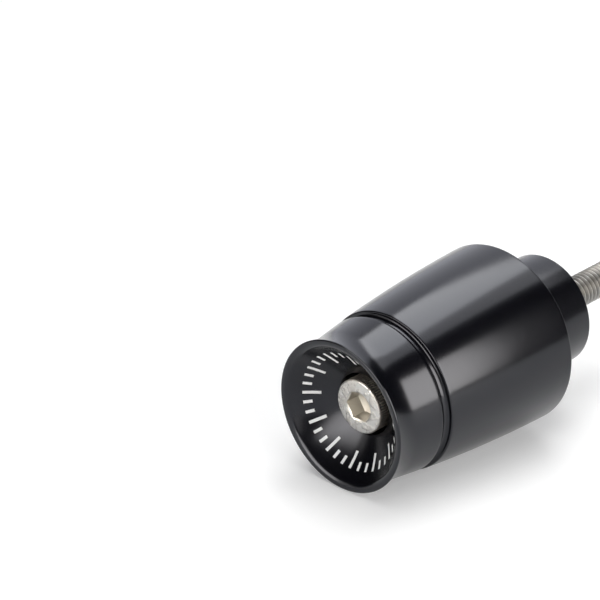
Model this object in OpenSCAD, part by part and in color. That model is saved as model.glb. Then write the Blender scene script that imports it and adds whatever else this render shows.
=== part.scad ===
// Bar end weight for a motorcycle handlebar, in millimetres.
// The axis lies along X. The origin is the centre of the seat, the spacer's rear face,
// which bears on the end of the bar. +X points out of the bar, towards the flared rim.

/* [Rim cap] */
// Diameter of the flared rim
rim_d = 28.2; // [24:0.1:34]
// Length of the cap from the rim to the groove
cap_len = 10.55; // [9:0.05:14]
// Diameter of the cap at its rear edge, beside the groove
cap_back_d = 28.8; // [26:0.2:32]
// Diameter that the cap's straight flank would have at the rim
flank_d = 25.9; // [22:0.1:27]
// Length over which the flank flares out to the rim
flare_len = 5; // [3:0.1:7]
// Width of the flat ring on the rim's front
lip_land = 0.1; // [0.05:0.05:1]
// Rounding of the rim's outer edge
lip_round = 0.4; // [0.1:0.05:0.45]
// Rounding of the rim's inner edge, where it runs into the dish
lip_inner_round = 1.5; // [0.3:0.05:1.6]
// Depth of the dish from the rim to the counterbore's mouth
dish_depth = 6.25; // [5:0.05:7]
// How far the dish's wall sags below a straight cone
dish_sag = 0.5; // [0:0.1:1]
// Thickness of the cap's floor under the screw's head
cap_floor = 4; // [2:0.1:6]

/* [Groove] */
// Width of the groove between the cap and the barrel
groove_w = 1.8; // [1:0.1:3]
// Diameter at the bottom of the groove
neck_d = 27.2; // [22:0.1:28]

/* [Barrel] */
// Length of the barrel behind the groove
barrel_len = 29; // [22:0.5:45]
// Diameter of the barrel beside the groove
barrel_front_d = 29.4; // [28:0.2:32]
// Diameter of the barrel at its rear edge
barrel_back_d = 33.6; // [31:0.2:38]
// How far the barrel's side bulges past a straight cone, halfway along
barrel_bulge = 0.35; // [0:0.05:0.8]
// Small chamfer on the turned edges
edge = 0.25; // [0.1:0.05:0.4]

/* [Spacer] */
// Diameter of the spacer behind the barrel
spacer_d = 20.8; // [19:0.1:22]
// Length of the spacer, from the barrel to the seat
spacer_len = 13; // [8:0.1:20]
// Chamfer round the seat
seat_chamfer = 0.5; // [0.2:0.1:1]

/* [Spigots] */
// Diameter of the spigots that centre the cap and the spacer in the barrel
spigot_d = 16; // [13:0.5:17.5]
// Length of the spacer's spigot
spacer_spigot_len = 3; // [2:0.1:5]
// Radial clearance round a spigot
spigot_gap = 0.05; // [0.02:0.01:0.1]
// Room left at the end of a spigot
spigot_end_gap = 0.3; // [0.1:0.1:1]

/* [Screw] */
// Outer diameter of the screw's thread
thread_d = 6; // [5:0.5:6]
// Pitch of the screw's thread, drawn as rings
thread_pitch = 1; // [0.8:0.1:1.25]
// Diameter of the plain shank
shank_d = 5.3; // [4.6:0.1:5.9]
// Length of the screw under its head
screw_len = 65; // [55:1:90]
// Diameter of the screw's head
head_d = 10; // [9:0.1:11]
// Height of the screw's head
head_h = 6; // [5:0.1:7]
// Chamfer round the head's face
head_edge = 0.3; // [0.1:0.05:0.4]
// Width of the hex socket across its flats
hex_af = 5; // [4:0.5:6]
// Depth of the hex socket
hex_depth = 3; // [2:0.1:3.5]
// Depth of the drilled cone below the socket
drill_cone = 0.8; // [0.2:0.1:1.2]
// Turn of the hex socket about the screw's axis
hex_turn = 31; // [0:1:59]
// How far the head stands out of its counterbore
head_proud = 1.5; // [0.5:0.1:2.5]
// Radial clearance round the screw's head
head_gap = 0.7; // [0.3:0.1:1]
// Radial clearance round the thread in its holes
hole_gap = 0.3; // [0.2:0.05:0.5]
// Chamfer on the screw's tip
tip_chamfer = 0.9; // [0.5:0.1:1.2]

/* [Hidden] */
$fn = 96;
curve_steps = 12;
cut = 1;

rim_r = rim_d/2;
flank_r = flank_d/2;
hole_r = thread_d/2 + hole_gap;
spigot_r = spigot_d/2;
neck_r = neck_d/2;
// Rounding at the bottom of the groove, which leaves a narrow flat between its two sides
groove_round = max(0.1, min(groove_w/2 - 0.02, barrel_front_d/2 - edge - neck_r));
// A metric thread's crest, flank and depth, as shares of its pitch
thread_crest = 0.125*thread_pitch;
thread_flank = 0.3125*thread_pitch;
thread_root_r = thread_d/2 - 0.5413*thread_pitch;
// Turn of the lip's inner rounding from the rim's face to the dish
lip_turn = 50;
socket_r = spigot_r + spigot_gap;
counterbore_r = head_d/2 + head_gap;

barrel_back_x = spacer_len;
barrel_front_x = barrel_back_x + barrel_len;
cap_back_x = barrel_front_x + groove_w;
rim_x = cap_back_x + cap_len;
mouth_x = rim_x - dish_depth;
head_face_x = mouth_x + head_proud;
head_seat_x = head_face_x - head_h;
cap_spigot_end_x = head_seat_x - cap_floor;
tip_x = head_seat_x - screw_len;

// Radius of the cap's flank at a distance z behind the rim
function cap_r(z) = let (
    straight = flank_r + (cap_back_d/2 - flank_r)*z/cap_len,
    rise = max(0, 1 - z/flare_len)
) straight + (rim_r - flank_r)*rise*rise;

// Radius of the dish at a share s of its depth, where 0 is the rim and 1 the counterbore
function dish_r(s) = let (
    dish_top_r = rim_r - lip_round - lip_land - lip_inner_round*sin(lip_turn)
) dish_top_r + (counterbore_r - dish_top_r)*s + dish_sag*4*s*(1 - s);

// Radius of the barrel's side at a share s of its length, from the groove to the rear
function barrel_r(s) =
    (barrel_front_d + (barrel_back_d - barrel_front_d)*s)/2 + barrel_bulge*4*s*(1 - s);

// Outline of the thread from the seat to its tip: a crest, a flank, a root and a flank a pitch
function thread_outline() = let (
    count = floor((-tip_x - tip_chamfer - thread_crest)/thread_pitch)
) [for (i = [count - 1:-1:0]) let (x = -i*thread_pitch)
    for (point = [
        [thread_d/2, x - thread_pitch], [thread_root_r, x - thread_pitch + thread_flank],
        [thread_root_r, x - thread_crest - thread_flank], [thread_d/2, x - thread_crest]
    ]) point];

// A turned piece: an outline of points [radius, x], spun about the X axis
module turned(outline) rotate([0, 90, 0]) rotate_extrude() polygon(outline);

// A round hole along the X axis, between two places
module bore(r, x0, x1) translate([x0, 0, 0]) rotate([0, 90, 0]) cylinder(r = r, h = x1 - x0);

// Flared cap with a dished face, a counterbore for the screw's head and a rear spigot
module rim_cap() {
    flank = [for (i = [0:curve_steps]) let (z = lip_round + (cap_len - edge - lip_round)*i/curve_steps)
        [cap_r(z), rim_x - z]];
    lip_drop = lip_inner_round*(1 - cos(lip_turn));
    lip = [for (turn = [0:lip_turn/5:lip_turn - 1])
        [rim_r - lip_round - lip_land - lip_inner_round*sin(turn),
         rim_x - lip_inner_round*(1 - cos(turn))]];
    dish = [for (i = [0:curve_steps]) let (s = i/curve_steps)
        [dish_r(s), mouth_x + (dish_depth - lip_drop)*(1 - s)]];
    color([0.04, 0.04, 0.045]) difference() {
        turned(concat(
            [[0, cap_spigot_end_x], [spigot_r - edge, cap_spigot_end_x],
             [spigot_r, cap_spigot_end_x + edge], [spigot_r, cap_back_x],
             [cap_back_d/2 - edge, cap_back_x]],
            [for (i = [curve_steps:-1:0]) flank[i]],
            [[rim_r - lip_round, rim_x]],
            lip,
            dish,
            [[0, mouth_x]]
        ));
        bore(counterbore_r, head_seat_x, mouth_x + cut);
        bore(hole_r, cap_spigot_end_x - cut, head_seat_x + cut);
    }
}

// Barrel with a round-bottomed groove, a socket at each end and a hole right through
module barrel() {
    groove = concat(
        [for (turn = [60:-15:0])
            [neck_r + groove_round*(1 - cos(turn)), cap_back_x - groove_round*(1 - sin(turn))]],
        [for (turn = [0:15:75])
            [neck_r + groove_round*(1 - cos(turn)), barrel_front_x + groove_round*(1 - sin(turn))]]
    );
    side = [for (i = [0:curve_steps]) let (s = i/curve_steps)
        [barrel_r(s), barrel_front_x - edge - (barrel_len - 2*edge)*s]];
    color([0.04, 0.04, 0.045]) difference() {
        turned(concat(
            [[0, cap_back_x], [neck_r + groove_round/2, cap_back_x]],
            groove,
            [[barrel_r(0) - edge, barrel_front_x]],
            side,
            [[barrel_r(1) - edge, barrel_back_x], [0, barrel_back_x]]
        ));
        bore(hole_r, barrel_back_x - cut, cap_back_x + cut);
        bore(socket_r, cap_spigot_end_x - spigot_end_gap, cap_back_x + cut);
        bore(socket_r, barrel_back_x - cut, barrel_back_x + spacer_spigot_len + spigot_end_gap);
    }
}

// Spacer between the barrel and the bar's end, with a spigot that centres it
module rear_spacer() {
    color([0.04, 0.04, 0.045]) difference() {
        turned([
            [0, 0], [spacer_d/2 - seat_chamfer, 0], [spacer_d/2, seat_chamfer],
            [spacer_d/2, barrel_back_x], [spigot_r, barrel_back_x],
            [spigot_r, barrel_back_x + spacer_spigot_len - edge],
            [spigot_r - edge, barrel_back_x + spacer_spigot_len],
            [0, barrel_back_x + spacer_spigot_len]
        ]);
        bore(hole_r, -cut, barrel_back_x + spacer_spigot_len + cut);
    }
}

// Socket head screw, with its thread drawn as rings outside the seat
module socket_screw() {
    color([0.72, 0.70, 0.67]) difference() {
        turned(concat(
            [[0, tip_x], [thread_d/2 - tip_chamfer, tip_x], [thread_d/2, tip_x + tip_chamfer]],
            thread_outline(),
            [[thread_d/2, 0], [shank_d/2, 0], [shank_d/2, head_seat_x],
             [head_d/2, head_seat_x], [head_d/2, head_face_x - head_edge],
             [head_d/2 - head_edge, head_face_x], [0, head_face_x]]
        ));
        translate([head_face_x - hex_depth, 0, 0]) rotate([0, 90, 0]) rotate([0, 0, hex_turn])
            cylinder(d = hex_af/cos(30), h = hex_depth + cut, $fn = 6);
        turned([
            [0, head_face_x - hex_depth - drill_cone], [hex_af/2, head_face_x - hex_depth],
            [0, head_face_x - hex_depth]
        ]);
    }
}

rim_cap();
barrel();
rear_spacer();
socket_screw();
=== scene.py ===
"""Dresses the bar end weight: turned black anodised pieces on a stainless socket head screw.

The camera and lamps stand as in a small product studio with a white floor. All sizes are in
millimetres in the classes below, and are made metres where a mesh is built.
"""

import logging
import math
from dataclasses import dataclass, field
from enum import Enum
from typing import Iterable, Optional, Union

import bmesh
import bpy
from mathutils import Matrix, Vector


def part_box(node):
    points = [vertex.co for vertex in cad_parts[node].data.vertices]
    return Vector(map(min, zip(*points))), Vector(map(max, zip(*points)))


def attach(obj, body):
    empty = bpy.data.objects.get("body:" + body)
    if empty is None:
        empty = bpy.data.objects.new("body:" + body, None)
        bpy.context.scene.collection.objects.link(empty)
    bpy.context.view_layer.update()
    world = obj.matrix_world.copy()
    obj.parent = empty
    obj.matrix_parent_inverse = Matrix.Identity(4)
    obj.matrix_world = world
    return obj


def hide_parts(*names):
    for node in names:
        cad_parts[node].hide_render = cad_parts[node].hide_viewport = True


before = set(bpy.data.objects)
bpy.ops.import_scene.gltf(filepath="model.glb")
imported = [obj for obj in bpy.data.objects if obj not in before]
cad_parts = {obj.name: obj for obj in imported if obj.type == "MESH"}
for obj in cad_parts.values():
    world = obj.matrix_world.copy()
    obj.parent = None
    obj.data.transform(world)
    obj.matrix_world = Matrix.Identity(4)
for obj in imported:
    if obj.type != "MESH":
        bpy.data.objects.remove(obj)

logging.basicConfig(level=logging.INFO, format="%(message)s")
log = logging.getLogger("bar_end_weight")

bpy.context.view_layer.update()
MM = 0.001
WELD = 1e-6
ROUND_SEGMENTS = 5
NOISE_ROUGHNESS = 0.55
AXIS = Vector((1.0, 0.0, 0.0))
ROOT = "root"


class Shading(Enum):
    """How a piece's faces are shaded across their edges."""

    SOFT = 30.0
    CRISP = 18.0


Number = Union[float, "Field"]
Colour = tuple[float, float, float]
Band = tuple[float, float]


class Field:
    """A number that varies over a surface: one output socket, with arithmetic on it."""

    def __init__(self, graph: "Graph", socket: bpy.types.NodeSocket) -> None:
        """Keeps the socket and the graph that new nodes go into."""
        self.graph = graph
        self.socket = socket

    def math(self, operation: str, *others: Number) -> "Field":
        """Adds a Math node that takes this number first.

        Args:
            operation: the node's operation.
            others: the other operands, in order.

        Returns:
            The node's result.
        """
        values = dict(enumerate((self, *others)))
        return self.graph.node("ShaderNodeMath", {"operation": operation}, values)[0]

    def __add__(self, other: Number) -> "Field":
        """Returns the sum."""
        return self.math("ADD", other)

    def __radd__(self, other: float) -> "Field":
        """Returns the sum, with a plain number first."""
        return self.math("ADD", other)

    def __sub__(self, other: Number) -> "Field":
        """Returns the difference."""
        return self.math("SUBTRACT", other)

    def __rsub__(self, other: float) -> "Field":
        """Returns a plain number less this one."""
        return self.math("MULTIPLY", -1.0).math("ADD", other)

    def __mul__(self, other: Number) -> "Field":
        """Returns the product."""
        return self.math("MULTIPLY", other)

    def __rmul__(self, other: float) -> "Field":
        """Returns the product, with a plain number first."""
        return self.math("MULTIPLY", other)

    def __truediv__(self, other: Number) -> "Field":
        """Returns the quotient."""
        return self.math("DIVIDE", other)

    def __gt__(self, other: Number) -> "Field":
        """Returns 1 where this number is the larger, and 0 elsewhere."""
        return self.math("GREATER_THAN", other)

    def __lt__(self, other: Number) -> "Field":
        """Returns 1 where this number is the smaller, and 0 elsewhere."""
        return self.math("LESS_THAN", other)

    def ramp(self, low: float, high: float) -> "Field":
        """Returns a smooth rise from 0 at low to 1 at high."""
        settings = {"interpolation_type": "SMOOTHSTEP"}
        return self.graph.node("ShaderNodeMapRange", settings, {0: self, 1: low, 2: high})[0]


class Outputs:
    """The outputs of one node, by number or name."""

    def __init__(self, graph: "Graph", made: bpy.types.Node) -> None:
        """Keeps the node."""
        self.graph = graph
        self.made = made

    def __getitem__(self, key: Union[int, str]) -> Field:
        """Returns one output as a Field."""
        return Field(self.graph, self.made.outputs[key])


class Graph:
    """A node tree that is written as Python expressions."""

    def __init__(self, tree: bpy.types.NodeTree) -> None:
        """Empties the tree and keeps it."""
        self.tree = tree
        tree.nodes.clear()

    def node(
        self,
        kind: str,
        settings: Optional[dict] = None,
        values: Optional[dict] = None,
    ) -> Outputs:
        """Adds one node.

        Args:
            kind: the node's type name.
            settings: attributes of the node, set before its sockets.
            values: a value or Field for each input, by number or name.

        Returns:
            The node's outputs.
        """
        made = self.tree.nodes.new(kind)
        for name, value in (settings or {}).items():
            setattr(made, name, value)
        for key, value in (values or {}).items():
            if isinstance(value, Field):
                self.tree.links.new(value.socket, made.inputs[key])
            else:
                made.inputs[key].default_value = value
        return Outputs(self, made)

    def place(self) -> tuple[Outputs, Field, Field, Field]:
        """Reads the place on the object.

        Returns:
            The place in millimetres, whole and as its parts along X, Y and Z.
        """
        where = self.node("ShaderNodeTexCoord")["Object"]
        scaled = self.node(
            "ShaderNodeVectorMath", {"operation": "SCALE"}, {0: where, "Scale": 1.0 / MM}
        )
        parts = self.node("ShaderNodeSeparateXYZ", None, {0: scaled[0]})
        return scaled, parts[0], parts[1], parts[2]

    def noise(self, where: Outputs, scale: float, detail: float) -> Field:
        """Returns a noise from 0 to 1, with its scale in waves per millimetre."""
        values = {"Vector": where[0], "Scale": scale, "Detail": detail}
        values["Roughness"] = NOISE_ROUGHNESS
        return self.node("ShaderNodeTexNoise", {"noise_dimensions": "3D"}, values)["Fac"]

    def blend(self, share: Field, first: Union[Field, Colour], second: Colour) -> Field:
        """Mixes two colours.

        Args:
            share: how much of the second there is, from 0 to 1.
            first: the colour where the share is 0.
            second: the colour where it is 1.

        Returns:
            The mixed colour.
        """
        start = first if isinstance(first, Field) else opaque(first)
        values = {0: share, 6: start, 7: opaque(second)}
        return self.node("ShaderNodeMix", {"data_type": "RGBA"}, values)[2]

    def finish(self, height: Field, values: dict) -> None:
        """Adds the closing shader with its bump, and the material's output.

        Args:
            height: the relief of the surface, in millimetres.
            values: the shader's other inputs, by name.
        """
        relief = {"Strength": 1.0, "Distance": MM, "Height": height}
        normal = self.node("ShaderNodeBump", None, relief)["Normal"]
        shader = self.node("ShaderNodeBsdfPrincipled", None, {**values, "Normal": normal})
        self.node("ShaderNodeOutputMaterial", None, {0: shader[0]})


def opaque(colour: Colour) -> tuple[float, float, float, float]:
    """Returns a colour with its alpha, as a socket takes it."""
    return (*colour, 1.0)


def new_material(name: str) -> tuple[bpy.types.Material, Graph]:
    """Makes an empty node material.

    Args:
        name: its name.

    Returns:
        The material and its graph.
    """
    material = bpy.data.materials.new(name)
    material.use_nodes = True
    return material, Graph(material.node_tree)


@dataclass(frozen=True)
class DialMarks:
    """A ring of plain white marks on the dish, each a short radial bar."""

    count: int = 36
    inner_radius: float = 8.4
    outer_radius: float = 10.9
    short_inner_radius: float = 9.7
    every: int = 3
    width: float = 0.55

    def mask(self, along: Field, across: Field, up: Field, behind: float) -> Field:
        """Works out where the marks are.

        Args:
            along: the place along the axis.
            across: the place across the axis.
            up: the place up from the axis.
            behind: the place along the axis that the marks stay in front of.

        Returns:
            1 on the marks, and 0 elsewhere.
        """
        radius = (across * across + up * up).math("SQRT")
        turn = up.math("ARCTAN2", across) / math.tau
        long_count = self.count / self.every
        near_long = self._bar(turn * long_count, radius, long_count)
        near_short = self._bar(turn * self.count, radius, self.count)
        long_ring = (radius > self.inner_radius) * (radius < self.outer_radius)
        short_ring = (radius > self.short_inner_radius) * (radius < self.outer_radius)
        marks = (near_long * long_ring).math("MAXIMUM", near_short * short_ring)
        return marks * (along > behind)

    def _bar(self, turns: Field, radius: Field, count: float) -> Field:
        """Returns 1 within half a mark's width of the middle of each mark."""
        off = (turns + 0.5).math("FRACT").math("SUBTRACT", 0.5).math("ABSOLUTE")
        return off * radius * (math.tau / count) < self.width / 2


@dataclass(frozen=True)
class BlackAnodised:
    """Satin gloss black anodised aluminium, with faint lathe marks under the film.

    Lengths are in millimetres, and scales in waves per millimetre. A band holds the two
    values between which an effect comes in.
    """

    name: str
    colour: Colour = (0.0018, 0.0018, 0.0030)
    thin_film: float = 1.25
    sheen: Colour = (0.88, 0.91, 1.0)
    ior: float = 1.44
    roughness: float = 0.18
    roughness_spread: float = 0.04
    cloud_scale: float = 0.12
    cloud_band: Band = (0.3, 0.7)
    film_grain: float = 9.0
    grain_roughness: float = 0.03
    grain_depth: float = 0.0009
    lathe_pitch: float = 0.16
    lathe_depth: float = 0.00035
    fade_scale: float = 0.5
    fade_band: Band = (0.35, 0.65)
    dish_behind: Optional[float] = None
    dish_radius: float = 12.7
    dish_edge: float = 0.3
    dish_roughness: float = 0.20
    marks: Optional[DialMarks] = None
    marks_colour: Colour = (0.80, 0.80, 0.79)
    marks_roughness: float = 0.25
    wear: float = 0.10
    wear_scale: float = 4.0
    wear_band: Band = (0.30, 0.45)

    def make(self) -> bpy.types.Material:
        """Builds the material's nodes.

        Returns:
            The material.
        """
        material, graph = new_material(self.name)
        where, along, across, up = graph.place()
        radius = (across * across + up * up).math("SQRT")
        cloud = graph.noise(where, self.cloud_scale, detail=3.0)
        grain = graph.noise(where, self.film_grain, detail=2.0)
        lathe = (along * (math.tau / self.lathe_pitch)).math("SINE")
        fade = graph.noise(where, self.fade_scale, detail=1.0).ramp(*self.fade_band)
        height = lathe * fade * self.lathe_depth + grain * self.grain_depth
        rough = (cloud - 0.5) * self.roughness_spread
        rough = rough + (grain - 0.5) * self.grain_roughness + self.roughness
        if self.dish_behind is not None:
            low, high = self.dish_radius - self.dish_edge, self.dish_radius + self.dish_edge
            dish = (1.0 - radius.ramp(low, high)) * (along > self.dish_behind)
            rough = rough + dish * (self.dish_roughness - self.roughness)
        red, green, blue = (part * self.thin_film for part in self.colour)
        tint = graph.blend(cloud.ramp(*self.cloud_band), self.colour, (red, green, blue))
        if self.marks is not None:
            mask = self.marks.mask(along, across, up, self.dish_behind)
            worn = graph.noise(where, self.wear_scale, detail=3.0).ramp(*self.wear_band)
            shown = mask * ((1.0 - self.wear) + self.wear * worn)
            tint = graph.blend(shown, tint, self.marks_colour)
            rough = rough + mask * self.marks_roughness
        values = {
            "Base Color": tint,
            "Roughness": rough,
            "IOR": self.ior,
            "Specular Tint": opaque(self.sheen),
        }
        graph.finish(height, values)
        return material


@dataclass(frozen=True)
class Stainless:
    """Bare stainless steel, cold-headed and turned, warm grey with a fine grain.

    The head's knurled side keeps the dull skin of the wire that it was headed from, the
    socket is plain and punched, the face has scuffs in patches, and the thread's valleys
    carry painted shade, a darker colour where shade falls. Lengths, scales and bands are
    given as on the black finish.
    """

    name: str
    face_plane: float
    colour: Colour = (0.47, 0.465, 0.45)
    stain: Colour = (0.42, 0.405, 0.38)
    stain_band: Band = (0.42, 0.72)
    roughness: float = 0.27
    patch_scale: float = 0.9
    patch_roughness: float = 0.16
    grain_scale: float = 14.0
    grain_roughness: float = 0.12
    grain_depth: float = 0.004
    facing_pitch: float = 0.21
    turning_pitch: float = 0.19
    tool_depth: float = 0.0004
    head_reach: float = 6.2
    side: Colour = (0.50, 0.46, 0.41)
    side_band: Band = (4.86, 4.98)
    side_roughness: float = 0.6
    scuff_scale: float = 3.6
    scuff_band: Band = (0.46, 0.6)
    scuff_depth: float = 0.1
    socket: Colour = (0.60, 0.575, 0.525)
    socket_mouth: float = 0.12
    socket_reach: float = 4.0
    socket_radius: float = 3.2
    socket_roughness: float = 0.38
    thread_end: float = 3.0
    thread_roughness: float = 0.38
    # Painted shade in the thread's valleys: its dark colour, the radii it fades in over, and how
    # strong it is
    valley_shade: Colour = (0.10, 0.095, 0.09)
    valley_shade_band: Band = (2.5, 2.92)
    valley_shade_share: float = 0.72

    def make(self) -> bpy.types.Material:
        """Builds the material's nodes.

        Returns:
            The material.
        """
        material, graph = new_material(self.name)
        where, along, across, up = graph.place()
        radius = (across * across + up * up).math("SQRT")
        patch = graph.noise(where, self.patch_scale, detail=4.0)
        grain = graph.noise(where, self.grain_scale, detail=3.0)
        facing = (radius * (math.tau / self.facing_pitch)).math("SINE")
        turning = (along * (math.tau / self.turning_pitch)).math("SINE")
        head = along > self.face_plane - self.head_reach
        dull = head * radius.ramp(*self.side_band)
        below_mouth = along < self.face_plane - self.socket_mouth
        above_cone = along > self.face_plane - self.socket_reach
        inside = below_mouth * above_cone * (radius < self.socket_radius)
        thread = along < self.thread_end
        # Painted shade: the thread's colour is darkened towards its valleys, where shade falls
        valley_shade = thread * (1.0 - radius.ramp(*self.valley_shade_band)) * self.valley_shade_share
        tint = graph.blend(patch.ramp(*self.stain_band), self.colour, self.stain)
        tint = graph.blend(dull, tint, self.side)
        tint = graph.blend(inside, tint, self.socket)
        tint = graph.blend(valley_shade, tint, self.valley_shade)
        rough = (patch - 0.5) * self.patch_roughness
        rough = rough + (grain - 0.5) * self.grain_roughness + self.roughness
        rough = rough + dull * (self.side_roughness - self.roughness)
        rough = rough + thread * (self.thread_roughness - self.roughness)
        rough = rough + inside * (self.socket_roughness - self.roughness)
        scuff = graph.noise(where, self.scuff_scale, detail=3.0)
        scuff = scuff * patch.ramp(*self.scuff_band) * head * (1.0 - inside)
        height = grain * self.grain_depth + scuff * self.scuff_depth
        height = height + (facing + turning) * self.tool_depth
        graph.finish(height, {"Base Color": tint, "Metallic": 1.0, "Roughness": rough})
        return material


@dataclass(frozen=True)
class Corner:
    """A point of a turned outline: its radius, its place along the axis and its rounding."""

    radius: float
    along: float
    rounding: float = 0.0


def settle_normals(work: bmesh.types.BMesh, shading: Shading) -> None:
    """Merges doubles, turns the faces outwards and marks the sharp edges.

    Args:
        work: the mesh.
        shading: the angle past which an edge stays sharp.
    """
    bmesh.ops.remove_doubles(work, verts=work.verts, dist=WELD)
    bmesh.ops.recalc_face_normals(work, faces=work.faces)
    limit = math.radians(shading.value)
    for face in work.faces:
        face.smooth = True
    for edge in work.edges:
        edge.smooth = len(edge.link_faces) == 2 and edge.calc_face_angle(0.0) < limit


def finish_piece(
    work: bmesh.types.BMesh,
    name: str,
    material: bpy.types.Material,
    shading: Shading = Shading.SOFT,
) -> bpy.types.Object:
    """Makes an object at the origin from a finished mesh.

    Args:
        work: the mesh, which is freed.
        name: the piece's name.
        material: its finish.
        shading: how its faces are shaded.

    Returns:
        The new object.
    """
    settle_normals(work, shading)
    mesh = bpy.data.meshes.new(name)
    work.to_mesh(mesh)
    work.free()
    mesh.materials.append(material)
    piece = bpy.data.objects.new(name, mesh)
    bpy.context.scene.collection.objects.link(piece)
    return piece


def turn(outline: Iterable[Corner], steps: int, closed: bool = True) -> bmesh.types.BMesh:
    """Spins an outline about the axis.

    Args:
        outline: the corners, in order, in millimetres.
        steps: how many steps make the whole turn.
        closed: joins the last corner to the first.

    Returns:
        The mesh, in metres.
    """
    corners = list(outline)
    work = bmesh.new()
    points = [work.verts.new((c.along * MM, c.radius * MM, 0.0)) for c in corners]
    for first, second in zip(points, points[1:]):
        work.edges.new((first, second))
    if closed:
        work.edges.new((points[-1], points[0]))
    for corner, point in zip(corners, points):
        if corner.rounding > 0:
            bmesh.ops.bevel(
                work,
                geom=[point],
                offset=corner.rounding * MM,
                offset_type="OFFSET",
                segments=ROUND_SEGMENTS,
                profile=0.5,
                affect="VERTICES",
                material=-1,
            )
    bmesh.ops.spin(
        work,
        geom=list(work.verts) + list(work.edges),
        cent=(0.0, 0.0, 0.0),
        axis=AXIS,
        dvec=(0.0, 0.0, 0.0),
        angle=math.tau,
        steps=steps,
        use_merge=True,
    )
    return work


@dataclass
class Stack:
    """Where the turned pieces meet along the axis, read from the frame."""

    seat: float = 0.0
    rim: float = field(init=False)
    cap_back: float = field(init=False)
    barrel_front: float = field(init=False)
    barrel_back: float = field(init=False)
    cap_spigot_end: float = field(init=False)
    head_face: float = field(init=False)
    tip: float = field(init=False)
    groove: float = 1.8
    hole_radius: float = 3.3
    spigot_radius: float = 8.0
    spigot_gap: float = 0.05
    spigot_end_gap: float = 0.3
    spacer_spigot: float = 3.0

    def __post_init__(self) -> None:
        """Reads the boxes of the solids."""
        cap_low, cap_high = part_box("rim_cap")
        barrel_low, barrel_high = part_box("barrel")
        screw_low, screw_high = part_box("socket_screw")
        self.rim = cap_high.x / MM
        self.cap_spigot_end = cap_low.x / MM
        self.cap_back = barrel_high.x / MM
        self.barrel_front = self.cap_back - self.groove
        self.barrel_back = barrel_low.x / MM
        self.head_face = screw_high.x / MM
        self.tip = screw_low.x / MM


@dataclass
class RimCap:
    """The flared cap: a dished face, a counterbore for the screw's head, and a rear spigot."""

    stack: Stack
    rim_radius: float = 14.1
    back_radius: float = 14.4
    flank_radius: float = 12.95
    flare_length: float = 5.0
    lip_land: float = 0.1
    lip_round: float = 0.4
    lip_inner_round: float = 1.5
    lip_turn: float = 50.0
    dish_depth: float = 6.25
    dish_sag: float = 0.5
    dish_starts: float = 1.0
    counterbore_radius: float = 5.7
    mouth_round: float = 0.12
    floor_round: float = 0.2
    hole_round: float = 0.1
    head_height: float = 6.0
    edge: float = 0.25
    edge_room: float = 2.5
    lip_room: float = 0.9
    inset: float = 0.01
    lip_steps: int = 10
    curve_steps: int = 28
    turn_steps: int = 192

    def flank(self, behind: float) -> float:
        """Works out the flank, which is a straight cone that flares out to the rim.

        Args:
            behind: the distance behind the rim.

        Returns:
            The outer radius there.
        """
        length = self.stack.rim - self.stack.cap_back
        straight = self.flank_radius + (self.back_radius - self.flank_radius) * behind / length
        rise = max(0.0, 1.0 - behind / self.flare_length)
        return straight + (self.rim_radius - self.flank_radius) * rise * rise

    def lip(self, degrees: float) -> tuple[float, float]:
        """Works out the rounding that leads from the rim into the dish.

        Args:
            degrees: how far the rounding has turned from the rim's face.

        Returns:
            The radius there, and the depth behind the rim.
        """
        start = self.rim_radius - self.lip_round - self.lip_land
        turned = math.radians(degrees)
        depth = self.lip_inner_round * (1 - math.cos(turned))
        return start - self.lip_inner_round * math.sin(turned), depth

    def dish(self, share: float) -> float:
        """Works out the dish, whose wall sags a little outside a straight cone.

        Args:
            share: the share of its depth, 0 at the rim.

        Returns:
            The radius there.
        """
        top = self.lip(self.lip_turn)[0]
        straight = top + (self.counterbore_radius - top) * share
        return straight + self.dish_sag * 4 * share * (1 - share)

    def outline(self) -> list[Corner]:
        """Lists the corners of the outline.

        Returns:
            The corners, from the spigot's end round the outside to the counterbore.
        """
        s = self.stack
        head_seat = s.head_face - self.head_height
        mouth = s.rim - self.dish_depth
        length = s.rim - s.cap_back
        corners = [
            Corner(s.hole_radius, s.cap_spigot_end),
            Corner(s.spigot_radius, s.cap_spigot_end, self.edge),
            Corner(s.spigot_radius, s.cap_back),
            Corner(self.back_radius - self.inset, s.cap_back, self.edge),
        ]
        first = self.lip_round
        last = length - self.edge_room * self.edge
        for index in range(self.curve_steps, -1, -1):
            behind = first + (last - first) * index / self.curve_steps
            corners.append(Corner(self.flank(behind), s.rim - behind))
        rounding = self.lip_round * self.lip_room
        corners.append(Corner(self.rim_radius - self.inset, s.rim, rounding))
        for index in range(self.lip_steps):
            radius, depth = self.lip(self.lip_turn * index / self.lip_steps)
            corners.append(Corner(radius, s.rim - depth))
        drop = self.lip(self.lip_turn)[1]
        for index in range(self.curve_steps):
            share = index / self.curve_steps
            depth = drop + (self.dish_depth - drop) * share
            corners.append(Corner(self.dish(share), s.rim - depth))
        corners += [
            Corner(self.counterbore_radius, mouth, self.mouth_round),
            Corner(self.counterbore_radius, head_seat, self.floor_round),
            Corner(s.hole_radius, head_seat, self.hole_round),
        ]
        return corners

    def dress(self) -> bpy.types.Material:
        """Returns the cap's finish, with its ring of plain marks."""
        return BlackAnodised(
            name="black_anodised_cap",
            marks=DialMarks(),
            dish_behind=self.stack.cap_back + self.dish_starts,
        ).make()

    def build(self) -> bpy.types.Object:
        """Turns and dresses the cap.

        Returns:
            The cap, in place of its solid.
        """
        work = turn(self.outline(), self.turn_steps)
        piece = finish_piece(work, "flared_rim_cap", self.dress())
        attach(piece, ROOT)
        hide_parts("rim_cap")
        return piece


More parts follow.
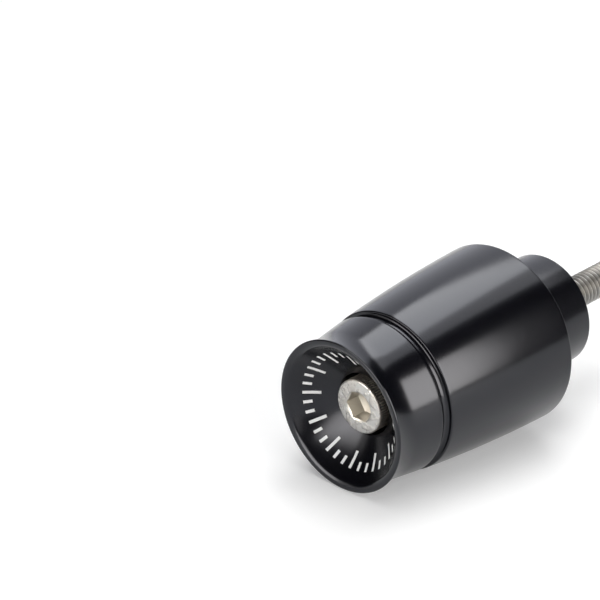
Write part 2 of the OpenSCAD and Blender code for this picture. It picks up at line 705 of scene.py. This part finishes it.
@dataclass
class Barrel:
    """The weight's body: a bulged barrel with a neck at the groove and a socket at each end."""

    stack: Stack
    front_radius: float = 14.7
    back_radius: float = 16.795
    bulge: float = 0.35
    neck_radius: float = 13.6
    neck_flat: float = 0.02
    cap_side_turn: float = 60.0
    barrel_side_turn: float = 80.0
    edge: float = 0.25
    edge_share: float = 0.02
    groove_steps: int = 8
    curve_steps: int = 36
    turn_steps: int = 192

    def side(self, share: float) -> float:
        """Returns the radius at a share of the length, 0 at the groove."""
        straight = self.front_radius + (self.back_radius - self.front_radius) * share
        return straight + self.bulge * 4 * share * (1 - share)

    def outline(self) -> list[Corner]:
        """Lists the corners of the outline.

        Returns:
            The corners, from the front socket round the outside to the rear one.
        """
        s = self.stack
        socket = s.spigot_radius + s.spigot_gap
        reach = self.side(0.0) - self.edge - self.neck_radius
        bottom = min(s.groove / 2 - self.neck_flat, reach)
        front_floor = s.cap_spigot_end - s.spigot_end_gap
        back_floor = s.barrel_back + s.spacer_spigot + s.spigot_end_gap
        length = s.barrel_front - s.barrel_back
        corners = [
            Corner(s.hole_radius, front_floor),
            Corner(socket, front_floor),
            Corner(socket, s.cap_back),
            Corner(self.neck_radius + bottom / 2, s.cap_back),
        ]
        for index in range(self.groove_steps + 1):
            turned = math.radians(self.cap_side_turn * (1 - index / self.groove_steps))
            along = s.cap_back - bottom * (1 - math.sin(turned))
            corners.append(Corner(self.neck_radius + bottom * (1 - math.cos(turned)), along))
        for index in range(self.groove_steps + 1):
            turned = math.radians(self.barrel_side_turn * index / self.groove_steps)
            along = s.barrel_front + bottom * (1 - math.sin(turned))
            corners.append(Corner(self.neck_radius + bottom * (1 - math.cos(turned)), along))
        corners.append(Corner(self.side(0.0), s.barrel_front, self.edge))
        middle = 1 - 2 * self.edge_share
        for index in range(self.curve_steps + 1):
            share = self.edge_share + middle * index / self.curve_steps
            corners.append(Corner(self.side(share), s.barrel_front - length * share))
        corners += [
            Corner(self.side(1.0), s.barrel_back, self.edge),
            Corner(socket, s.barrel_back),
            Corner(socket, back_floor),
            Corner(s.hole_radius, back_floor),
        ]
        return corners

    def build(self) -> bpy.types.Object:
        """Turns and dresses the barrel.

        Returns:
            The barrel, in place of its solid.
        """
        finish = BlackAnodised(name="black_anodised_barrel").make()
        piece = finish_piece(turn(self.outline(), self.turn_steps), "bulged_barrel", finish)
        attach(piece, ROOT)
        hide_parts("barrel")
        return piece


@dataclass
class RearSpacer:
    """The spacer between the barrel and the bar's end."""

    stack: Stack
    radius: float = 10.4
    chamfer: float = 0.5
    chamfer_round: float = 0.1
    hole_round: float = 0.15
    edge: float = 0.25
    roughness: float = 0.22
    turn_steps: int = 160

    def outline(self) -> list[Corner]:
        """Lists the corners of the outline.

        Returns:
            The corners, from the seat round the outside to the spigot.
        """
        s = self.stack
        spigot_end = s.barrel_back + s.spacer_spigot
        return [
            Corner(s.hole_radius, s.seat, self.hole_round),
            Corner(self.radius - self.chamfer, s.seat, self.chamfer_round),
            Corner(self.radius, s.seat + self.chamfer, self.chamfer_round),
            Corner(self.radius, s.barrel_back),
            Corner(s.spigot_radius, s.barrel_back),
            Corner(s.spigot_radius, spigot_end, self.edge),
            Corner(s.hole_radius, spigot_end),
        ]

    def build(self) -> bpy.types.Object:
        """Turns and dresses the spacer.

        Returns:
            The spacer, in place of its solid.
        """
        finish = BlackAnodised(name="black_anodised_spacer", roughness=self.roughness).make()
        piece = finish_piece(turn(self.outline(), self.turn_steps), "bar_spacer", finish)
        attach(piece, ROOT)
        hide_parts("rear_spacer")
        return piece


@dataclass
class SocketScrew:
    """The M6 socket head screw: a knurled head with a hex socket, and a cut thread."""

    stack: Stack
    head_radius: float = 5.0
    head_height: float = 6.0
    face_edge: float = 0.34
    plain_band: float = 0.55
    foot_band: float = 0.5
    foot_inset: float = 0.05
    foot_round: float = 0.1
    knurl_teeth: int = 64
    knurl_depth: float = 0.16
    knurl_rows: int = 3
    steps_per_tooth: int = 4
    slack: float = 0.01
    shank_radius: float = 2.65
    shank_fillet: float = 0.25
    hex_flats: float = 5.0
    hex_depth: float = 3.0
    hex_turn: float = 31.0
    hex_round: float = 0.12
    hex_round_segments: int = 3
    cutter_reach: float = 2.0
    socket_chamfer_radius: float = 2.93
    socket_chamfer_angle: float = 60.0
    socket_chamfer_steps: int = 96
    drill_cone: float = 0.8
    thread_radius: float = 2.985
    thread_pitch: float = 1.0
    thread_depth: float = 0.6134
    thread_inside: float = 2.6
    thread_overlap: float = 0.3
    thread_weld: float = 2e-6
    thread_steps: int = 72
    tip_chamfer: float = 0.9

    def _head(self) -> bmesh.types.BMesh:
        """Turns the head and the shank, and presses the knurl into the head's side.

        Returns:
            The mesh, closed and without its socket.
        """
        face = self.stack.head_face
        seat = face - self.head_height
        band = face - self.plain_band
        foot = seat + self.foot_band
        shank_end = self.stack.seat + self.thread_inside - self.thread_overlap
        shares = [row / self.knurl_rows for row in range(self.knurl_rows + 1)]
        knurl = [Corner(self.head_radius, band - (band - foot) * share) for share in shares]
        outline = [
            Corner(0.0, face),
            Corner(self.head_radius, face, self.face_edge),
            *knurl,
            Corner(self.head_radius - self.foot_inset, seat, self.foot_round),
            Corner(self.shank_radius + self.shank_fillet, seat),
            Corner(self.shank_radius, seat - self.shank_fillet),
            Corner(self.shank_radius, shank_end),
            Corner(0.0, shank_end),
        ]
        work = turn(outline, self.knurl_teeth * self.steps_per_tooth, closed=False)
        bmesh.ops.remove_doubles(work, verts=work.verts, dist=WELD)
        low, high = (foot - self.slack) * MM, (band + self.slack) * MM
        outside = (self.head_radius - 2 * self.slack) * MM
        for vert in work.verts:
            radius = math.hypot(vert.co.y, vert.co.z)
            if low <= vert.co.x <= high and radius > outside:
                turn_share = math.atan2(vert.co.z, vert.co.y) / math.tau
                wave = abs((turn_share * self.knurl_teeth) % 1.0 - 0.5) * 2
                scale = 1 - wave * self.knurl_depth / self.head_radius
                vert.co.y *= scale
                vert.co.z *= scale
        return work

    def _socket_cutter(self) -> bpy.types.Object:
        """Makes the tool that cuts the hex socket.

        Returns:
            The tool, with the drilled cone at its end.
        """
        face = self.stack.head_face
        work = bmesh.new()
        corner = self.hex_flats / 2 / math.cos(math.radians(30))
        height = self.hex_depth + self.cutter_reach
        bmesh.ops.create_cone(
            work,
            cap_ends=True,
            segments=6,
            radius1=corner * MM,
            radius2=corner * MM,
            depth=height * MM,
        )
        upright = [e for e in work.edges if abs(e.verts[0].co.z - e.verts[1].co.z) > WELD]
        bmesh.ops.bevel(
            work,
            geom=upright,
            offset=self.hex_round * MM,
            offset_type="OFFSET",
            segments=self.hex_round_segments,
            profile=0.5,
            affect="EDGES",
            material=-1,
        )
        bottom = min(work.faces, key=lambda f: f.calc_center_median().z)
        poked = bmesh.ops.poke(work, faces=[bottom])
        for vert in poked["verts"]:
            vert.co.z -= self.drill_cone * MM
        # A cone's first corner lies along its +Y, which is 90 degrees on from the CAD's
        stand = Matrix.Rotation(math.radians(90), 4, "Y")
        spin = Matrix.Rotation(math.radians(self.hex_turn - 30.0), 4, "Z")
        middle = face - self.hex_depth + height / 2
        shift = Matrix.Translation((middle * MM, 0.0, 0.0))
        bmesh.ops.transform(work, matrix=shift @ stand @ spin, verts=work.verts)
        return finish_piece(work, "socket_cutter", bpy.data.materials.new("cutter"))

    def _chamfer_cutter(self) -> bpy.types.Object:
        """Makes the tool that cuts the chamfer round the socket's mouth.

        Returns:
            The tool, a cone.
        """
        face = self.stack.head_face
        reach = self.cutter_reach / 2
        slope = math.tan(math.radians(self.socket_chamfer_angle))
        outline = [
            Corner(0.0, face + reach),
            Corner(self.socket_chamfer_radius + reach * slope, face + reach),
            Corner(0.0, face - self.socket_chamfer_radius / slope),
        ]
        work = turn(outline, self.socket_chamfer_steps, closed=False)
        return finish_piece(work, "chamfer_cutter", bpy.data.materials.new("cutter"))

    def _thread(self) -> bmesh.types.BMesh:
        """Winds the thread as a helix, and chamfers its tip.

        Returns:
            The closed mesh.
        """
        start = self.stack.seat + self.thread_inside
        pitch = self.thread_pitch
        turns = math.ceil((start - self.stack.tip) / pitch) + 2
        root = self.thread_radius - self.thread_depth
        crest = self.thread_radius
        # Crest, flank, root and flank of one turn, as shares of the pitch
        shares = [(0.0, crest), (0.125, crest), (0.4375, root), (0.6875, root)]
        work = bmesh.new()
        points = []
        for index in range(turns):
            for share, radius in shares:
                along = start - (index + share) * pitch
                points.append(work.verts.new((along * MM, radius * MM, 0.0)))
        for first, second in zip(points, points[1:]):
            work.edges.new((first, second))
        bmesh.ops.spin(
            work,
            geom=list(work.verts) + list(work.edges),
            cent=(0.0, 0.0, 0.0),
            axis=AXIS,
            dvec=(pitch * MM / self.thread_steps, 0.0, 0.0),
            angle=math.tau,
            steps=self.thread_steps,
            use_merge=False,
        )
        bmesh.ops.remove_doubles(work, verts=work.verts, dist=self.thread_weld)
        tip = self.stack.tip
        for vert in work.verts:
            along = max(tip, min(start, vert.co.x / MM))
            radius = math.hypot(vert.co.y, vert.co.z) / MM
            limit = self.thread_radius - self.tip_chamfer + (along - tip)
            scale = min(radius, limit) / radius
            vert.co = Vector((along * MM, vert.co.y * scale, vert.co.z * scale))
        bmesh.ops.remove_doubles(work, verts=work.verts, dist=self.thread_weld)
        bmesh.ops.dissolve_degenerate(work, edges=work.edges, dist=self.thread_weld)
        open_edges = [e for e in work.edges if len(e.link_faces) == 1]
        bmesh.ops.holes_fill(work, edges=open_edges, sides=0)
        return work

    def build(self) -> bpy.types.Object:
        """Cuts and dresses the screw.

        Returns:
            The screw, in place of its solid.
        """
        finish = Stainless("stainless_steel", face_plane=self.stack.head_face).make()
        piece = finish_piece(self._head(), "socket_head_screw", finish, Shading.CRISP)
        for cutter in (self._chamfer_cutter(), self._socket_cutter()):
            cut = piece.modifiers.new("cut", "BOOLEAN")
            cut.operation = "DIFFERENCE"
            cut.solver = "EXACT"
            cut.object = cutter
            bpy.context.view_layer.update()
            bare = piece.evaluated_get(bpy.context.evaluated_depsgraph_get())
            mesh = bpy.data.meshes.new_from_object(bare)
            piece.modifiers.clear()
            piece.data = mesh
            bpy.data.objects.remove(cutter)
        work = bmesh.new()
        work.from_mesh(piece.data)
        thread = self._thread()
        thread_mesh = bpy.data.meshes.new("thread")
        thread.to_mesh(thread_mesh)
        thread.free()
        work.from_mesh(thread_mesh)
        settle_normals(work, Shading.CRISP)
        work.to_mesh(piece.data)
        work.free()
        piece.data.materials.clear()
        piece.data.materials.append(finish)
        for face in piece.data.polygons:
            face.material_index = 0
        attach(piece, ROOT)
        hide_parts("socket_screw")
        return piece


@dataclass(frozen=True)
class Softbox:
    """A rectangular lamp that looks at the object, placed by bearing and height angle.

    The bearing is counted about +Z from +X, and the height angle up from the floor. The
    lamp's half width and half height are angles too, as the object sees them.
    """

    name: str
    bearing: float
    height: float
    half_wide: float
    half_tall: float
    distance: float
    matt: float
    gloss: float
    tint: Colour = (1.0, 1.0, 1.0)
    twin_gap: float = 0.02

    def place(self, target: Vector) -> None:
        """Adds a lamp for matt surfaces and one for glossy ones, a little behind it.

        Args:
            target: the point that both look at, in metres.
        """
        self._add(f"{self.name}_matt", self.matt, target, self.distance, in_gloss=False)
        behind = self.distance + self.twin_gap
        self._add(f"{self.name}_gloss", self.gloss, target, behind, in_gloss=True)

    def _add(
        self,
        name: str,
        radiance: float,
        target: Vector,
        distance: float,
        in_gloss: bool,
    ) -> None:
        """Adds one lamp.

        Args:
            name: its name.
            radiance: how bright its face is, where 1 shows as white.
            target: the point that it looks at.
            distance: how far off it stands, in metres.
            in_gloss: whether glossy surfaces show it, or matt ones are lit by it.
        """
        if radiance <= 0:
            return
        data = bpy.data.lights.new(name, "AREA")
        if in_gloss:
            data.color = self.tint
        data.shape = "RECTANGLE"
        data.size = 2 * distance * math.tan(math.radians(self.half_wide))
        data.size_y = 2 * distance * math.tan(math.radians(self.half_tall))
        data.energy = radiance * math.pi * data.size * data.size_y
        lamp = bpy.data.objects.new(name, data)
        bearing, height = math.radians(self.bearing), math.radians(self.height)
        out = Vector((
            math.cos(bearing) * math.cos(height),
            math.sin(bearing) * math.cos(height),
            math.sin(height),
        ))
        lamp.location = target + out * distance
        lamp.rotation_euler = out.to_track_quat("Z", "Y").to_euler()
        lamp.visible_camera = False
        lamp.visible_diffuse = not in_gloss
        lamp.visible_glossy = in_gloss
        bpy.context.scene.collection.objects.link(lamp)


@dataclass
class Studio:
    """The white floor, the lamps, the pale surroundings and the camera."""

    stack: Stack
    rim_radius: float = 14.1
    barrel_radius: float = 16.8
    floor_size: float = 8.0
    floor_colour: float = 0.84
    floor_lift: float = 0.22
    floor_roughness: float = 0.55
    wall_bearing: float = 222.0
    wall_half_wide: float = 33.0
    wall_side_fade: float = 4.0
    wall_top: float = 0.68
    wall_top_fade: float = 0.05
    wall_light: float = 1.12
    wall_white: Colour = (0.955, 0.97, 1.055)
    room_light: float = 0.02
    lamps_aim: float = 30.0
    lamp_warmth: Colour = (1.05, 1.0, 0.94)
    camera_place: tuple[float, float, float] = (371.734, 311.927, 248.059)
    camera_heading: float = -135.276
    camera_dip: float = 26.877
    camera_roll: float = -1.826
    lens: float = 180.0
    sensor: float = 36.0
    near_clip: float = 0.01
    far_clip: float = 50.0

    def floor(self) -> None:
        """Adds the floor, which touches the rim and the barrel's rear edge."""
        run = self.stack.rim - self.stack.barrel_back
        tilt = math.atan2(self.barrel_radius - self.rim_radius, run)
        work = bmesh.new()
        bmesh.ops.create_grid(work, x_segments=1, y_segments=1, size=self.floor_size / 2)
        touch = Vector((self.stack.barrel_back * MM, 0.0, -self.barrel_radius * MM))
        place = Matrix.Translation(touch) @ Matrix.Rotation(-tilt, 4, "Y")
        bmesh.ops.transform(work, matrix=place, verts=work.verts)
        material, graph = new_material("white_floor")
        path = graph.node("ShaderNodeLightPath")
        seen = path["Is Camera Ray"] + path["Is Glossy Ray"] + path["Is Transmission Ray"]
        lift = seen.math("MINIMUM", 1.0) * self.floor_lift
        glow = graph.node("ShaderNodeCombineColor", None, {0: lift, 1: lift, 2: lift})[0]
        values = {
            "Base Color": opaque((self.floor_colour,) * 3),
            "Roughness": self.floor_roughness,
            "Emission Color": glow,
            "Emission Strength": 1.0,
        }
        shader = graph.node("ShaderNodeBsdfPrincipled", None, values)
        graph.node("ShaderNodeOutputMaterial", None, {0: shader[0]})
        floor = finish_piece(work, "floor", material)

    def surroundings(self) -> None:
        """Makes the world white to the camera, with a pale wall behind and a dim room."""
        world = bpy.data.worlds.new("studio")
        bpy.context.scene.world = world
        world.use_nodes = True
        graph = Graph(world.node_tree)
        where = graph.node("ShaderNodeTexCoord")["Generated"]
        parts = graph.node("ShaderNodeSeparateXYZ", None, {0: where})
        facing = math.radians(self.wall_bearing)
        ahead = parts[0] * math.cos(facing) + parts[1] * math.sin(facing)
        aside = parts[1] * math.cos(facing) - parts[0] * math.sin(facing)
        off = aside.math("ARCTAN2", ahead).math("ABSOLUTE") * math.degrees(1.0)
        inner, outer = (self.wall_half_wide + side * self.wall_side_fade for side in (-1, 1))
        under, over = (self.wall_top + side * self.wall_top_fade for side in (-1, 1))
        wide = 1.0 - off.ramp(inner, outer)
        low = 1.0 - parts[2].ramp(under, over)
        path = graph.node("ShaderNodeLightPath")
        mirrored = (path["Is Glossy Ray"] + path["Is Transmission Ray"]).math("MINIMUM", 1.0)
        wall = wide * low * mirrored
        strength = (wall * self.wall_light + self.room_light).math("MAXIMUM", path["Is Camera Ray"])
        colour = graph.blend(wall, (1.0, 1.0, 1.0), self.wall_white)
        shade = graph.node("ShaderNodeBackground", None, {"Color": colour, "Strength": strength})
        graph.node("ShaderNodeOutputWorld", None, {0: shade[0]})

    def lamps(self) -> None:
        """Adds the softboxes."""
        target = Vector((self.lamps_aim * MM, 0.0, 0.0))
        warm = self.lamp_warmth
        boxes = [
            Softbox(
                "right_box",
                bearing=94.2, height=21.0, half_wide=27.6, half_tall=20.5,
                distance=1.1, matt=2.6, gloss=8.3, tint=warm,
            ),
            Softbox(
                "left_box",
                bearing=-6.2, height=15.5, half_wide=26.5, half_tall=17.0,
                distance=1.1, matt=2.6, gloss=4.8, tint=warm,
            ),
            Softbox(
                "left_core",
                bearing=-3.0, height=13.0, half_wide=18.0, half_tall=13.0,
                distance=1.2, matt=0.0, gloss=2.0, tint=warm,
            ),
            Softbox(
                "left_haze",
                bearing=-22.0, height=12.0, half_wide=26.0, half_tall=17.0,
                distance=1.3, matt=0.0, gloss=1.1, tint=warm,
            ),
            Softbox(
                "front_card",
                bearing=50.0, height=12.0, half_wide=9.0, half_tall=12.0,
                distance=1.1, matt=0.0, gloss=1.4, tint=warm,
            ),
            Softbox(
                "top_box",
                bearing=206.0, height=63.2, half_wide=16.0, half_tall=19.4,
                distance=1.1, matt=1.8, gloss=3.8,
            ),
            Softbox(
                "top_glow",
                bearing=194.0, height=63.2, half_wide=24.0, half_tall=19.4,
                distance=1.2, matt=0.8, gloss=2.1,
            ),
            Softbox(
                "fill_above",
                bearing=60.0, height=80.0, half_wide=27.0, half_tall=27.0,
                distance=1.2, matt=1.8, gloss=0.0,
            ),
        ]
        for box in boxes:
            box.place(target)

    def camera(self) -> None:
        """Adds the camera where the photograph was taken from."""
        data = bpy.data.cameras.new("camera")
        data.sensor_width = self.sensor
        data.lens = self.lens
        data.clip_start = self.near_clip
        data.clip_end = self.far_clip
        camera = bpy.data.objects.new("camera", data)
        heading, dip = math.radians(self.camera_heading), math.radians(self.camera_dip)
        look = Vector((
            math.sin(heading) * math.cos(dip),
            math.cos(heading) * math.cos(dip),
            -math.sin(dip),
        ))
        aim = look.to_track_quat("-Z", "Y").to_matrix().to_4x4()
        roll = Matrix.Rotation(math.radians(self.camera_roll), 4, "Z")
        place = Matrix.Translation(Vector(self.camera_place) * MM)
        camera.matrix_world = place @ aim @ roll
        bpy.context.scene.collection.objects.link(camera)
        bpy.context.scene.camera = camera

    def build(self) -> None:
        """Adds everything that isn't the object."""
        self.camera()
        self.floor()
        self.surroundings()
        self.lamps()
        bpy.context.scene.view_settings.view_transform = "Standard"


def main() -> None:
    """Builds the studio and the pieces, in order."""
    stack = Stack()
    Studio(stack).build()
    for part in (RimCap(stack), Barrel(stack), RearSpacer(stack), SocketScrew(stack)):
        piece = part.build()
        log.info("%s: %d faces", piece.name, len(piece.data.polygons))


if __name__ == "__main__":
    main()
